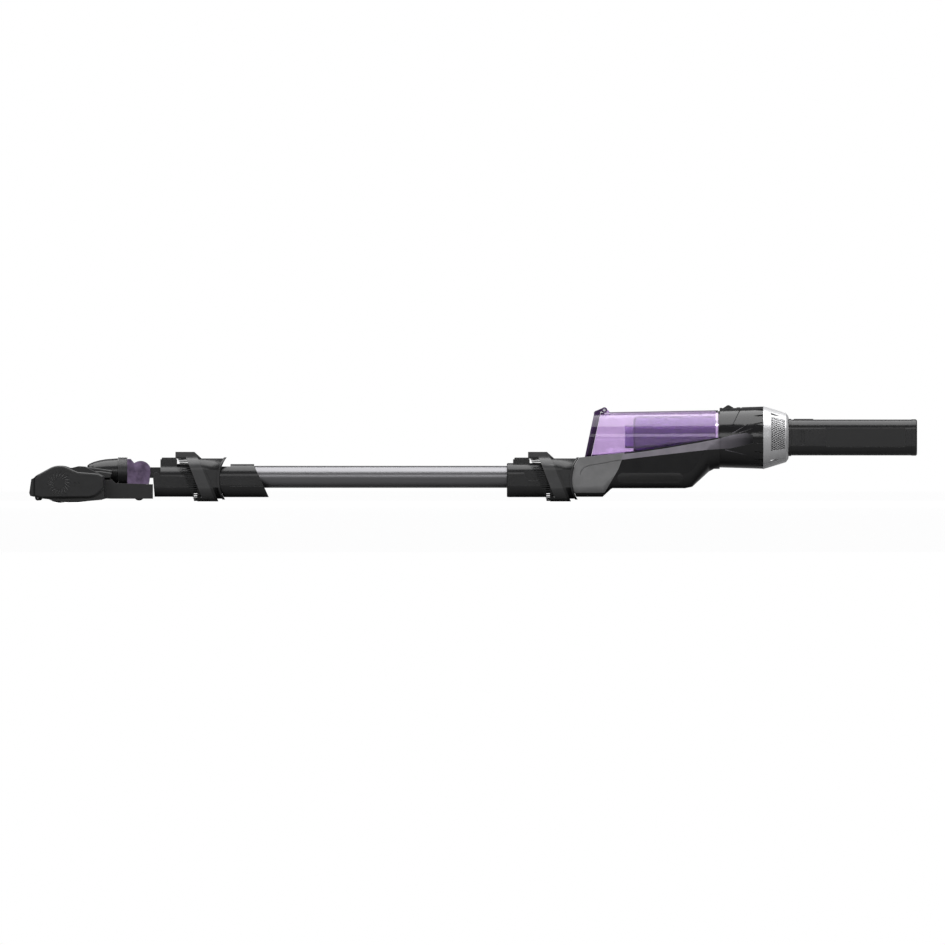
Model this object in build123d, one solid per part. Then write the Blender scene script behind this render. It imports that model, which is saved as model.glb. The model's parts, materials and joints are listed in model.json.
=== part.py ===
from build123d import *
import math
import os

# Cordless stick vacuum, lying on the floor with its handle along +X.
# All lengths are millimetres. The origin is on the floor, below the middle of the outer box.

# ------------------------------------------------------------------ driving dimensions
LENGTH = 1099.4
FRONT_X = -LENGTH / 2
END_X = LENGTH / 2
GAP = 0.3  # clearance between faces of pieces that move past each other
PIN_PLAY = 0.05  # radial clearance of a pin or shaft in its hole

# Floor head, across Y
HEAD_HALF_WIDTH = 125.0
CAP_THICK = 8.0
HEAD_INNER = HEAD_HALF_WIDTH - CAP_THICK
COVER_WALL = 2.2
VENT_SLOTS = 18
BUMPER_BACK_X = FRONT_X + 5.5
HEAD_BACK_X = -457.1
HEAD_SPLIT_Z = 16.0
ROLLER_X = -512.4
ROLLER_Z = 21.5
ROLLER_R = 14.0
BRISTLE_R = ROLLER_Z
ROLLER_CAVITY_R = 23.0
HUMP_R = 24.8
ROLLER_HALF = 110.0
BELT_Y = 105.0
BELT_WIDTH = 6.0
PULLEY_R = 10.0
PINION_R = 5.0
BRUSH_MOTOR_X = -474.0
BRUSH_MOTOR_Z = 23.0
BRUSH_MOTOR_R = 12.5
FRONT_WHEEL = (-539.2, 6.7)
FRONT_WHEEL_R = 3.6
REAR_WHEEL = (-414.8, 9.3)
REAR_WHEEL_R = 6.2
REAR_AXLE_HALF = 5.9
CARRIAGE_END_X = -397.9

# Neck
NECK_Z = 39.0
NECK_END_X = -441.0
COLLAR_R = 17.6
NECK_BORE_R = 13.4
ELBOW_X = -413.7
ELBOW_HALF = 15.5
ELBOW_BOTTOM_Z = 23.5
ELBOW_SWEEP_R = 22.0  # room that the elbow's corners need when it swivels
HUB_R = 12.6
HUB_HALF = 8.5
ELBOW_PIN_R = 3.0
PIN_HALF = 12.8

# Couplings: the same nozzle, socket, button and brush slider at both ends of the wand.
# Each is placed by the front edge of its brush tab.
LOWER_COUPLING_X = -369.7
UPPER_COUPLING_X = 67.5
NOZZLE_Z = 28.3
NOZZLE_R = 16.0
NOZZLE_BORE_R = 13.5
SOCKET_R = NOZZLE_R + GAP
SOCKET_DEPTH = 37.0
MOUTH_DX = 22.7
CONNECTOR_BOTTOM_Z = 7.7
BUTTON_TRAVEL = 1.8
WAIST_DX = 54.3
WAIST_Z = 29.0
WAIST_R = 46.0
TUFT_R = 0.9
TUFT_COUNT = 57

# Wand
TUBE_Z = 32.4
TUBE_R = 13.65
TUBE_WALL = 1.5
WAND_BOTTOM_Z = 7.2

# Hand unit: bin, motor and handle share one axis
AXIS_Z = 81.0
SHELL = 2.5
BIN_FRONT_R = 31.0
BIN_BACK_R = 34.0
BIN_FRONT_X = 137.9
BIN_BACK_X = 303.0
BIN_WALL = 2.0
LID_THICK = 8.0
LID_SLANT = 0.2126  # how far the lid leans back per unit of height
LID_FOOT_Z = 57.0
LID_LOWEST_Z = 51.6  # the lid swings past the brush slider in front of it
LID_HINGE = (162.1, 115.1)
SEAT_GAP = 0.8
MOTOR_FRONT_X = 305.0
MOTOR_BACK_X = 359.0
MOTOR_FRONT_R = 37.0
MOTOR_BACK_R = 38.6
RING_BACK_X = 390.5
HANDLE_WIDTH = 43.0
HANDLE_HEIGHT = 44.6
HANDLE_CORNER = 12.0
HANDLE_CAP_X = 543.0
CELL_R = 9.2
CELL_LENGTH = 65.0


# ------------------------------------------------------------------ helpers
def face_of(points):
    """A flat face from corner points or from ready-made edges."""
    if isinstance(points[0], tuple):
        return make_face(Polyline(*points, close=True))
    return make_face(Wire(points))


def slab(shape, y0, y1):
    """The side outline, given in X and Z, as a slab from y0 to y1."""
    face = shape if isinstance(shape, (Face, Sketch)) else face_of(shape)
    plane = Plane(origin=(0, y1, 0), x_dir=(1, 0, 0), z_dir=(0, -1, 0))
    return extrude(plane * face, amount=y1 - y0)


def block(x0, x1, y0, y1, z0, z1):
    size = (x1 - x0, y1 - y0, z1 - z0)
    return Pos((x0 + x1) / 2, (y0 + y1) / 2, (z0 + z1) / 2) * Box(*size)


def bar(x0, x1, width, z0, z1, corner):
    """A bar along X with a rounded rectangular section."""
    plane = Plane(origin=(x0, 0, (z0 + z1) / 2), x_dir=(0, 1, 0), z_dir=(1, 0, 0))
    return extrude(plane * RectangleRounded(width, z1 - z0, corner), amount=x1 - x0)


def rod_x(x0, x1, z, radius, y=0.0):
    plane = Plane(origin=(x0, y, z), x_dir=(0, 1, 0), z_dir=(1, 0, 0))
    return extrude(plane * Circle(radius), amount=x1 - x0)


def rod_y(y0, y1, x, z, radius):
    plane = Plane(origin=(x, y0, z), x_dir=(1, 0, 0), z_dir=(0, 1, 0))
    return extrude(plane * Circle(radius), amount=y1 - y0)


def rod_z(z0, z1, x, y, radius):
    return extrude(Plane(origin=(x, y, z0)) * Circle(radius), amount=z1 - z0)


def turned(profile, z):
    """A profile of (x, radius) points turned about the X direction at height z."""
    plane = Plane(origin=(0, 0, z), x_dir=(1, 0, 0), z_dir=(0, -1, 0))
    return revolve(plane * face_of(profile), axis=Axis((0, 0, z), (1, 0, 0)))


def cone_x(x0, r0, x1, r1, z):
    return turned([(x0, 0), (x0, r0), (x1, r1), (x1, 0)], z)


def soften(shape, radius, edges):
    """Fillets the edges, one by one if they can't all be done at once."""
    try:
        return fillet(edges, radius)
    except Exception:
        return shape


def mirrored(shape):
    return mirror(shape, about=Plane.XZ)


parts = {}


# ------------------------------------------------------------------ floor head
def hump_line(radius):
    """Where the straight front slope meets the hump over the roller, and the hump's arc."""
    start = math.radians(122)
    top = math.radians(90)
    end = math.radians(62)
    points = [
        (ROLLER_X + radius * math.cos(a), ROLLER_Z + radius * math.sin(a))
        for a in (start, top, end)
    ]
    return ThreePointArc(*points)


def head_outline(bottom_z, rear):
    """Side outline above bottom_z, closed by the rear points after the hump."""
    arc = hump_line(HUMP_R)
    nose = (BUMPER_BACK_X, 31.0)
    edges = [
        Line((BUMPER_BACK_X, bottom_z), nose),
        Line(nose, (-541.0, 34.2)),
        Line((-541.0, 34.2), arc @ 0),
        arc,
    ]
    corner = arc @ 1
    for point in rear + [(HEAD_BACK_X, bottom_z), (BUMPER_BACK_X, bottom_z)]:
        edges.append(Line(corner, point))
        corner = point
    return edges


COVER_REAR = [(-496.0, 43.8), (-489.0, 45.6), (-482.0, 45.2), (-465.0, 37.0), (HEAD_BACK_X, 33.0)]
CAP_REAR = [(-490.0, 38.6), (-464.0, 36.4)]
UNDERSIDE = [
    (BUMPER_BACK_X, 8.0),
    (-534.9, 5.7),
    (-525.9, 4.7),
    (-518.0, 2.4),
    (-501.0, 0.8),
    (-489.9, 1.0),
    (-480.4, 2.2),
    (-463.9, 3.7),
    (HEAD_BACK_X, 5.3),
]


def neck_cone(grow):
    """The tapering neck, made larger by grow."""
    profile = [(-479.0, 0), (-479.0, 7.5 + grow), (-476.5, 9.6 + grow), (-471.0, 12.0 + grow)]
    profile += [(-464.0, 13.9 + grow), (-456.0, 15.3 + grow), (NECK_END_X, 16.4 + grow)]
    profile.append((NECK_END_X, 0))
    return turned(profile, NECK_Z)


def make_chassis():
    outline = UNDERSIDE + [(HEAD_BACK_X, HEAD_SPLIT_Z), (BUMPER_BACK_X, HEAD_SPLIT_Z)]
    half = HEAD_INNER
    wall = 3.5
    body = slab(outline, -half, half)
    body -= rod_y(-half + wall, half - wall, ROLLER_X, ROLLER_Z, ROLLER_CAVITY_R)
    body -= rod_y(-half, half, ROLLER_X, ROLLER_Z, 12.0)
    tray = [(-486.0, 5.0), (-465.0, 6.8), (-460.0, 7.5)]
    tray += [(-460.0, HEAD_SPLIT_Z + 1), (-486.0, HEAD_SPLIT_Z + 1)]
    body -= slab(tray, -half + wall, half - wall)
    body -= block(-505, -468, BELT_Y - 5, half - wall, 8.5, HEAD_SPLIT_Z + 1)
    for side in (-1, 1):
        middle = side * 100.0
        body -= rod_y(middle - 6.5, middle + 6.5, *FRONT_WHEEL, FRONT_WHEEL_R + 0.6)
        body -= rod_y(middle - 9, middle + 9, *FRONT_WHEEL, 1.2)
    body -= screw_group()
    return body


def screw_group():
    """Pan-head screws driven up through the floor of the head."""
    screws = []
    for x, seat in ((-484.0, 1.9), (-464.0, 3.9)):
        for y in (-88.0, -50.0, 50.0, 88.0):
            head = rod_z(seat, seat + 1.6, x, y, 2.8)
            slot = block(x - 2.2, x + 2.2, y - 0.4, y + 0.4, seat, seat + 0.6)
            shank = rod_z(seat + 1.6, seat + 2.8, x, y, 1.4)
            screws.append(head - slot + shank)
    return Compound(children=screws)


def rimmed_plate(outline, half):
    """A plate on the cover whose outer top edges are rounded over."""
    plate = slab(outline, -half, half)
    ends = [f for f in plate.faces().filter_by(Axis.Y)]
    rims = [e for f in ends for e in f.edges().sort_by(Axis.Z)[-2:]]
    return soften(plate, 1.6, rims)


def make_top_cover():
    half = HEAD_INNER
    outer = face_of(head_outline(HEAD_SPLIT_Z, COVER_REAR))
    inner = offset(face_of(head_outline(HEAD_SPLIT_Z - 8, COVER_REAR)), amount=-COVER_WALL)
    cover = slab(outer, -half, half)
    end_walls = cover & slab([(-499, 31), (-499, 60), (-450, 60), (-450, 31)], -half, half)
    end_walls -= block(-500, -450, -half + COVER_WALL, half - COVER_WALL, 30, 61)
    upper = [(-484, 44.9), (-469, 43.6), (-448.4, 40.4), (-449.0, 37.2), (-484, 37.2)]
    lower = [(-484, 38.6), (-462, 39.4), (-448.4, 37.2), (-450.0, 31.5), (-484, 31.5)]
    cover += rimmed_plate(upper, 30) + rimmed_plate(lower, 44)
    cover -= slab(inner, -half, half)
    cover += end_walls
    cover -= neck_cone(0.0)
    cover -= rod_x(NECK_END_X - 16.2, NECK_END_X + 1, NECK_Z, COLLAR_R + 0.6)
    return cover


def make_end_cap():
    """The cap on the -Y end. Its outer face carries a swirl of slots."""
    arc = hump_line(HUMP_R)
    rear = CAP_REAR + [(-458.6, 33.4), (HEAD_BACK_X, 28.5), (HEAD_BACK_X, 18.6)]
    rear += [(-461.5, 13.6), (-467.8, 8.6), (-475.7, 6.6), (-534.9, 6.0), (BUMPER_BACK_X, 8.2)]
    nose = (BUMPER_BACK_X, 31.0)
    edges = [Line(rear[-1], nose), Line(nose, (-541.0, 34.2)), Line((-541.0, 34.2), arc @ 0), arc]
    corner = arc @ 1
    for point in rear:
        edges.append(Line(corner, point))
        corner = point
    cap = slab(face_of(edges), -HEAD_HALF_WIDTH, -HEAD_INNER)
    rim = cap.faces().sort_by(Axis.Y)[0].edges()
    cap = soften(cap, 2.4, rim)
    cap += rod_y(-HEAD_INNER, -HEAD_INNER + 3.2, ROLLER_X, ROLLER_Z, 11.5)
    cap -= rod_y(-HEAD_INNER, -HEAD_INNER + 3.2, ROLLER_X, ROLLER_Z, 9.0)
    face_y = -HEAD_HALF_WIDTH
    for i in range(VENT_SLOTS):
        slot = Pos(0, 0, 10.5) * Rotation(0, 24, 0) * Box(1.3, 3.0, 8.5)
        cap -= Pos(ROLLER_X, face_y, ROLLER_Z + 2.6) * Rotation(0, 360 / VENT_SLOTS * i, 0) * slot
    for x, z in ((-493.3, 24.8), (-488.4, 24.6), (-498.5, 37.0)):
        cap -= rod_y(face_y - 1, face_y + 1.2, x, z, 0.9)
    return cap


def make_bumper():
    outline = [(FRONT_X, 12.4), (-547.2, 29.6), (BUMPER_BACK_X, 31.0)]
    outline += [(BUMPER_BACK_X, 7.8), (-548.4, 8.7)]
    half = HEAD_HALF_WIDTH - 1.5
    bumper = slab(outline, -half, half)
    for z in (14.5, 19.5, 24.5):
        bumper -= block(FRONT_X - 1, FRONT_X + 1.6, -half + 8, half - 8, z - 0.6, z + 0.6)
    return bumper


def make_carriage():
    outline = [(HEAD_BACK_X, 5.6), (HEAD_BACK_X, 31.0), (-450.5, 31.0), (-443.6, 24.6)]
    outline += [(CARRIAGE_END_X, 23.2), (CARRIAGE_END_X, 5.3), (-448.7, 5.3)]
    body = slab(outline, -34, 34)
    body = soften(body, 3.0, body.edges().filter_by(Axis.X).group_by(Axis.Z)[-1])
    body -= rod_x(HEAD_BACK_X - 1, NECK_END_X, NECK_Z, 16.6)
    body -= rod_x(NECK_END_X, -396, NECK_Z, COLLAR_R + 0.6)
    body -= rod_x(-430.0, -396, NECK_Z, ELBOW_SWEEP_R)
    for side in (-1, 1):
        middle = side * 27.5
        well = rod_y(middle - 4.5, middle + 4.5, *REAR_WHEEL, REAR_WHEEL_R + 0.8)
        well += block(REAR_WHEEL[0] - 7, REAR_WHEEL[0] + 7, middle - 4.5, middle + 4.5, 4, REAR_WHEEL[1])
        body -= well
        body -= rod_y(middle - REAR_AXLE_HALF, middle + REAR_AXLE_HALF, *REAR_WHEEL, 1.5)
    return body


def make_neck_cover():
    outer = neck_cone(0.0)
    inner = neck_cone(-2.0)
    cover = outer - inner - rod_x(-480, -472, NECK_Z, 5.5)
    return cover - rod_x(-456, NECK_END_X + 1, NECK_Z, NECK_BORE_R)


def wheel(y_mid, half, centre, radius, bore):
    tyre = rod_y(y_mid - half, y_mid + half, *centre, radius)
    tyre = soften(tyre, min(0.8, radius * 0.2), tyre.edges().filter_by(GeomType.CIRCLE))
    return tyre - rod_y(y_mid - half, y_mid + half, *centre, bore)


def build_head():
    parts["head_chassis"] = make_chassis()
    parts["head_screws"] = screw_group()
    parts["head_top_cover"] = make_top_cover()
    parts["end_cap_left"] = make_end_cap()
    parts["end_cap_right"] = mirrored(make_end_cap())
    parts["front_bumper"] = make_bumper()
    parts["rear_carriage"] = make_carriage()
    parts["neck_cover"] = make_neck_cover()
    axles = []
    front = []
    rear = []
    for side in (-1, 1):
        front_mid = side * 100.0
        rear_mid = side * 27.5
        axles.append(rod_y(front_mid - 9, front_mid + 9, *FRONT_WHEEL, 1.2))
        axles.append(rod_y(rear_mid - REAR_AXLE_HALF, rear_mid + REAR_AXLE_HALF, *REAR_WHEEL, 1.5))
        front.append(wheel(front_mid, 6.0, FRONT_WHEEL, FRONT_WHEEL_R, 1.2 + PIN_PLAY))
        rear.append(wheel(rear_mid, 4.0, REAR_WHEEL, REAR_WHEEL_R, 1.5 + PIN_PLAY))
    parts["wheel_axles"] = Compound(children=axles)
    parts["front_wheels"] = Compound(children=front)
    parts["rear_wheels"] = Compound(children=rear)


def build_brush_drive():
    shaft_end = HEAD_INNER - 0.5
    core = rod_y(-ROLLER_HALF, ROLLER_HALF, ROLLER_X, ROLLER_Z, ROLLER_R)
    core -= rod_y(100.0, ROLLER_HALF, ROLLER_X, ROLLER_Z, ROLLER_R)
    core += rod_y(-shaft_end, shaft_end, ROLLER_X, ROLLER_Z, 4.0)
    parts["roller_core"] = core
    sleeve = rod_y(-108, 98, ROLLER_X, ROLLER_Z, BRISTLE_R)
    parts["roller_bristles"] = sleeve - rod_y(-108, 98, ROLLER_X, ROLLER_Z, ROLLER_R)
    pulley = rod_y(BELT_Y - 3.3, BELT_Y + 3.3, ROLLER_X, ROLLER_Z, PULLEY_R)
    pulley += rod_y(BELT_Y - 4.8, BELT_Y - 3.3, ROLLER_X, ROLLER_Z, PULLEY_R + 1.8)
    pulley += rod_y(BELT_Y + 3.3, BELT_Y + 4.8, ROLLER_X, ROLLER_Z, PULLEY_R + 1.8)
    parts["roller_pulley"] = pulley - rod_y(BELT_Y - 5, BELT_Y + 5, ROLLER_X, ROLLER_Z, 4.0)
    bushes = []
    for side in (-1, 1):
        y0, y1 = sorted((side * (HEAD_INNER - 3.2), side * HEAD_INNER))
        bush = rod_y(y0, y1, ROLLER_X, ROLLER_Z, 9.0) - rod_y(y0, y1, ROLLER_X, ROLLER_Z, 4.0 + PIN_PLAY)
        bushes.append(bush)
    parts["roller_bearings"] = Compound(children=bushes)
    motor = rod_y(30, 96, BRUSH_MOTOR_X, BRUSH_MOTOR_Z, BRUSH_MOTOR_R)
    motor += rod_y(96, 98, BRUSH_MOTOR_X, BRUSH_MOTOR_Z, 5.0)
    motor -= rod_y(60, 98, BRUSH_MOTOR_X, BRUSH_MOTOR_Z, 1.6 + PIN_PLAY)
    parts["brush_motor"] = motor
    pinion = rod_y(60.5, BELT_Y + 4, BRUSH_MOTOR_X, BRUSH_MOTOR_Z, 1.6)
    pinion += rod_y(BELT_Y - 3.3, BELT_Y + 3.3, BRUSH_MOTOR_X, BRUSH_MOTOR_Z, PINION_R)
    pinion += rod_y(BELT_Y + 3.3, BELT_Y + 4.4, BRUSH_MOTOR_X, BRUSH_MOTOR_Z, PINION_R + 1.6)
    parts["motor_pinion"] = pinion
    parts["drive_belt"] = make_belt(1.3) - make_belt(0.0)


def make_belt(thick):
    """The space inside the toothed belt's outer face, GAP clear of both pulleys."""
    ends = ((ROLLER_X, ROLLER_Z, PULLEY_R), (BRUSH_MOTOR_X, BRUSH_MOTOR_Z, PINION_R))
    circles = [Pos(x, z) * Circle(r + GAP + thick) for x, z, r in ends]
    face = make_hull((circles[0] + circles[1]).edges())
    return slab(face, BELT_Y - BELT_WIDTH / 2, BELT_Y + BELT_WIDTH / 2)


# ------------------------------------------------------------------ neck
def build_neck():
    ribbed = rod_x(NECK_END_X + GAP, -429.4, NECK_Z, COLLAR_R)
    ribbed += rod_x(-452, -429.4, NECK_Z, NECK_BORE_R - GAP)
    ribbed -= rod_x(-452, -429.4, NECK_Z, 11.2)
    for i in range(5):
        x = -438.6 + 2.0 * i
        groove = rod_x(x - 0.35, x + 0.35, NECK_Z, COLLAR_R + 1)
        ribbed -= groove - rod_x(x - 1, x + 1, NECK_Z, COLLAR_R - 0.6)
    parts["swivel_collar"] = ribbed
    dome = ThreePointArc((-420.8, 49.4), (-409.5, 51.7), (-401.0, 44.0))
    edges = [
        Line((-429.4, 54.6), (-425.3, 54.6)),
        Line((-425.3, 54.6), dome @ 0),
        dome,
        Line(dome @ 1, (-400.6, 37.2)),
        Line((-400.6, 37.2), (-402.6, ELBOW_BOTTOM_Z)),
        Line((-402.6, ELBOW_BOTTOM_Z), (-429.4, ELBOW_BOTTOM_Z)),
        Line((-429.4, ELBOW_BOTTOM_Z), (-429.4, 54.6)),
    ]
    elbow = slab(face_of(edges), -ELBOW_HALF, ELBOW_HALF)
    cheeks = elbow.faces().sort_by(Axis.Y)
    elbow = soften(elbow, 3.0, cheeks[0].edges() + cheeks[-1].edges())
    slot_half = HUB_HALF + GAP
    elbow -= block(ELBOW_X, -395, -slot_half, slot_half, 20, 60)
    elbow -= rod_y(-slot_half, slot_half, ELBOW_X, NECK_Z, HUB_R + GAP)
    elbow -= block(ELBOW_X - 8, -395, -slot_half, slot_half, NECK_Z + 4, 60)
    elbow -= rod_y(-PIN_HALF, PIN_HALF, ELBOW_X, NECK_Z, ELBOW_PIN_R)
    elbow -= rod_x(-430, -424, NECK_Z, 11.0)
    parts["elbow"] = elbow
    parts["elbow_pin"] = rod_y(-PIN_HALF, PIN_HALF, ELBOW_X, NECK_Z, ELBOW_PIN_R)


def button_well(x):
    """The pocket for a release button, from the tab's front edge x."""
    return block(x - 17.3, x + 1.3, -8.8, 8.8, 47.2, 60)


def make_connector():
    x = LOWER_COUPLING_X
    mouth = x + MOUTH_DX
    arm_top = ThreePointArc((-397.6, 34.0), (-394.0, 37.6), (-388.9, 33.9))
    edges = [
        arm_top,
        Line((-388.9, 33.9), (mouth, 32.6)),
        Line((mouth, 32.6), (mouth, 6.0)),
        Line((mouth, 6.0), (-395.4, 6.0)),
        Line((-395.4, 6.0), (-397.6, 34.0)),
    ]
    body = slab(face_of(edges), -21, 21) & bar(-402, mouth, 40, CONNECTOR_BOTTOM_Z, 60, 11.5)
    body += bar(-388.3, mouth, 37, 9.0, 48.5, 17)
    body += block(-388.3, x + 2.0, -11.4, 11.4, 36, 54.3)
    link = slab([(ELBOW_X, 31.0), (-386, 31.0), (-386, 44.3), (ELBOW_X, 44.3)], -HUB_HALF, HUB_HALF)
    hub = rod_y(-HUB_HALF, HUB_HALF, ELBOW_X, NECK_Z, HUB_R)
    body += link + hub
    body -= rod_y(-HUB_HALF, HUB_HALF, ELBOW_X, NECK_Z, ELBOW_PIN_R + PIN_PLAY)
    body -= rod_x(mouth - SOCKET_DEPTH, mouth, NOZZLE_Z, SOCKET_R)
    body -= rod_x(-400, mouth - SOCKET_DEPTH, 19.5, 8.0)
    body -= button_well(x)
    return body


def make_button(x):
    button = block(x - 17.0, x + 1.0, -8.5, 8.5, 49.2, 56.4)
    button = soften(button, 1.0, button.edges().group_by(Axis.Z)[-1])
    for i in range(4):
        ridge_x = x - 13.5 + 3.6 * i
        button -= block(ridge_x - 0.6, ridge_x + 0.6, -6.5, 6.5, 55.8, 57)
    return button


# ------------------------------------------------------------------ dusting brush sliders
def band_front(z):
    """X of the slanted band's front edge behind the tab's front edge, at height z."""
    return 12.7 + (57.5 - z) * 0.395


def make_tufts(x, slider):
    """Tufts round the front of the slider's band, but none over the button and the tab."""
    ring = RectangleRounded(50.0, 52.6, 14.5).wires()[0]
    tufts = []
    for i in range(TUFT_COUNT):
        point = ring.position_at(i / TUFT_COUNT)
        z = 29.8 + point.Y
        if z > 50 and abs(point.X) < 12:
            continue
        root = x + band_front(z)
        tufts.append(rod_x(root - 8.5, root + 0.8, z, TUFT_R, y=point.X) - slider)
    return tufts


def on_waist(x, z):
    """A point at height z on the waisted edge, from the tab's front edge x."""
    bulge = WAIST_R - math.sqrt(WAIST_R**2 - (z - WAIST_Z) ** 2)
    return (x + WAIST_DX + bulge, z)


def waist_edge(x, top, bottom):
    """The curved edge where the slider meets the piece behind it, from top to bottom."""
    return ThreePointArc(on_waist(x, top), on_waist(x, WAIST_Z), on_waist(x, bottom))


def behind_waist(x):
    """Everything behind that edge, as a face to cut with."""
    edge = waist_edge(x, 60.0, 0.0)
    back = x + 130
    foot = (back, 0)
    head = (back, 60)
    return face_of([edge, Line(edge @ 1, foot), Line(foot, head), Line(head, edge @ 0)])


def make_slider(x):
    sleeve = bar(x + 31.5, x + 66, 46, 5.3, 55.3, 14)
    collar = bar(x + 50, x + 66, 49, 4.2, 56.6, 15) & slab(behind_waist(x - 3.2), -30, 30)
    corners = ((12.7, 57.5), (26.5, 57.5), (37.0, 40.3), (53.2, 1.9), (27.5, 1.9), (24.6, 7.0))
    band = [(x + dx, z) for dx, z in corners]
    loop = bar(x + 10, x + 55, 54, 1.9, 57.5, 17)
    loop = loop & slab(band, -30, 30)
    tab = [(0, 54.9), (0, 63.4), (23.4, 63.4), (32.2, 55.3), (24.0, 54.9)]
    body = sleeve + collar + loop
    body += slab([(x + dx, z) for dx, z in tab], -11, 11)
    body -= bar(x - 5, x + 48.7, 42, 6.95, 54.8, 12.3)
    body -= bar(x + 51.2, x + 70, 42, 6.95, 53.6, 12.3)
    body -= block(x - 5, x + 26, -9.5, 9.5, 50, 57.2)
    body -= rod_x(x + 48, x + 52, NOZZLE_Z, NOZZLE_R + 0.08)
    body -= slab(behind_waist(x), -30, 30)
    for i in range(4):
        groove_x = x + 2.6 + 2.6 * i
        body -= block(groove_x - 0.5, groove_x + 0.5, -9, 9, 62.7, 64)
    return body


def build_coupling(prefix, x):
    slider = make_slider(x)
    parts[prefix + "_brush_bristles"] = Compound(children=make_tufts(x, slider))
    parts[prefix + "_brush_slider"] = slider


# ------------------------------------------------------------------ wand
def make_lower_sleeve():
    x = LOWER_COUPLING_X
    body = bar(x + 50, -253.9, 42, WAND_BOTTOM_Z, 48.2, 15)
    body = body & slab(behind_waist(x + GAP), -30, 30)
    past_end = [(-272.2, 50), (-272.2, 46.6), (-253.9, 7.0), (-253.9, 5), (-240, 5), (-240, 50)]
    body -= slab(past_end, -30, 30)
    body -= slab([(x + 50, 45.3), (-301.4, 45.3), (-301.4, 50), (x + 50, 50)], -30, 30)
    for side in (-1, 1):
        y0, y1 = sorted((side * 20.4, side * 22))
        body -= block(x + 68, -250, y0, y1, 20.6, 21.8)
        body -= slab([(-301.4, 49), (-298.2, 39.4), (-297.2, 39.4), (-300.2, 49)], y0, y1)
    body -= rod_x(x + 40, -292, NOZZLE_Z, NOZZLE_R)
    body -= rod_x(-292, -250, TUBE_Z, TUBE_R)
    return body


def make_nozzle(x, back):
    tip = x + MOUTH_DX - SOCKET_DEPTH + 1.0
    nozzle = rod_x(tip, back, NOZZLE_Z, NOZZLE_R) - rod_x(tip, back, NOZZLE_Z, NOZZLE_BORE_R)
    return nozzle - block(x - 12, x - 6, -5, 5, 43, 46)


def make_upper_sleeve():
    x = UPPER_COUPLING_X
    mouth = x + MOUTH_DX
    body = bar(41.2, mouth, 41, WAND_BOTTOM_Z, 49.5, 14)
    body = soften(body, 1.5, body.faces().sort_by(Axis.X)[0].edges())
    body += block(x - 18.6, x + 2.0, -11.4, 11.4, 40, 54.3)
    body -= rod_x(mouth - SOCKET_DEPTH, mouth, NOZZLE_Z, SOCKET_R)
    body -= rod_x(41, mouth - SOCKET_DEPTH, TUBE_Z, TUBE_R)
    body -= button_well(x)
    step = [(58, 46), (68.1, 27.7), (mouth, 27.7), (mouth, 46)]
    for side in (-1, 1):
        y0, y1 = sorted((side * 19.9, side * 22))
        body -= slab(step, y0, y1)
    return body


def build_wand():
    parts["wand_lower_sleeve"] = make_lower_sleeve()
    parts["wand_nozzle"] = make_nozzle(LOWER_COUPLING_X, -292.0)
    socket_end = UPPER_COUPLING_X + MOUTH_DX - SOCKET_DEPTH
    tube = rod_x(-292, socket_end, TUBE_Z, TUBE_R)
    parts["wand_tube"] = tube - rod_x(-292, socket_end, TUBE_Z, TUBE_R - TUBE_WALL)
    parts["wand_upper_sleeve"] = make_upper_sleeve()
    parts["wand_wiring"] = rod_x(-290, socket_end - 2, TUBE_Z - TUBE_R + TUBE_WALL + 2.1, 2.0)
    parts["head_release_button"] = make_button(LOWER_COUPLING_X)
    parts["wand_release_button"] = make_button(UPPER_COUPLING_X)


# ------------------------------------------------------------------ hand unit
# Sections of the body from front to back: x, width, bottom, corner radius
BODY_SECTIONS = [
    (112.0, 44.0, 7.6, 13.0),
    (160.0, 54.0, 7.6, 14.0),
    (172.0, 57.0, 18.2, 15.0),
    (262.0, 73.0, 18.2, 18.0),
    (271.0, 74.5, 20.0, 20.0),
    (292.0, 76.6, 39.2, 32.0),
    (MOTOR_FRONT_X, 77.0, 42.2, 36.0),
]
BODY_TOP_Z = 56.4
BODY_BOTTOM_Z = 7.6
BODY_OUTLINE = [
    (206.3, 64.6),
    (262.0, 73.8),
    (301.8, 80.8),
    (MOTOR_FRONT_X, 82.0),
    (MOTOR_FRONT_X, 42.2),
    (298.0, 42.2),
    (291.8, 39.0),
    (271.2, 20.0),
    (262.0, 18.2),
    (172.8, 18.2),
    (170.3, 17.4),
    (159.9, BODY_BOTTOM_Z),
]
FAIRING_BOTTOM_Z = 12.8
GROOVE_DEPTH = 0.9
FAIRING_BACK = [(162.4, FAIRING_BOTTOM_Z), (179.4, 42.0), (187.0, 62.2)]


def body_side():
    """Side outline of the lower body, with its waisted front edge."""
    front = waist_edge(UPPER_COUPLING_X + GAP, BODY_TOP_Z, BODY_BOTTOM_Z)
    edges = [front]
    corner = front @ 1
    for point in list(reversed(BODY_OUTLINE)) + [front @ 0]:
        edges.append(Line(corner, point))
        corner = point
    return face_of(edges)


def body_form(inset):
    """The lower body between inlet and motor, each wall moved in by inset."""
    sections = []
    for x, width, bottom, corner in BODY_SECTIONS:
        top = 140.0
        height = top - bottom - inset
        plane = Plane(origin=(x, 0, top - height / 2), x_dir=(0, 1, 0), z_dir=(1, 0, 0))
        sections.append(plane * RectangleRounded(width - 2 * inset, height, corner - inset))
    return loft(sections, ruled=True)


def seat_form(grow):
    """The dust bin's outside, made larger by grow and run on past both ends."""
    slope = (BIN_BACK_R - BIN_FRONT_R) / (BIN_BACK_X - BIN_FRONT_X)
    x0 = 100.0
    r0 = BIN_FRONT_R - slope * (BIN_FRONT_X - x0)
    return cone_x(x0, r0 + grow, MOTOR_FRONT_X, BIN_BACK_R + grow, AXIS_Z)


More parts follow.
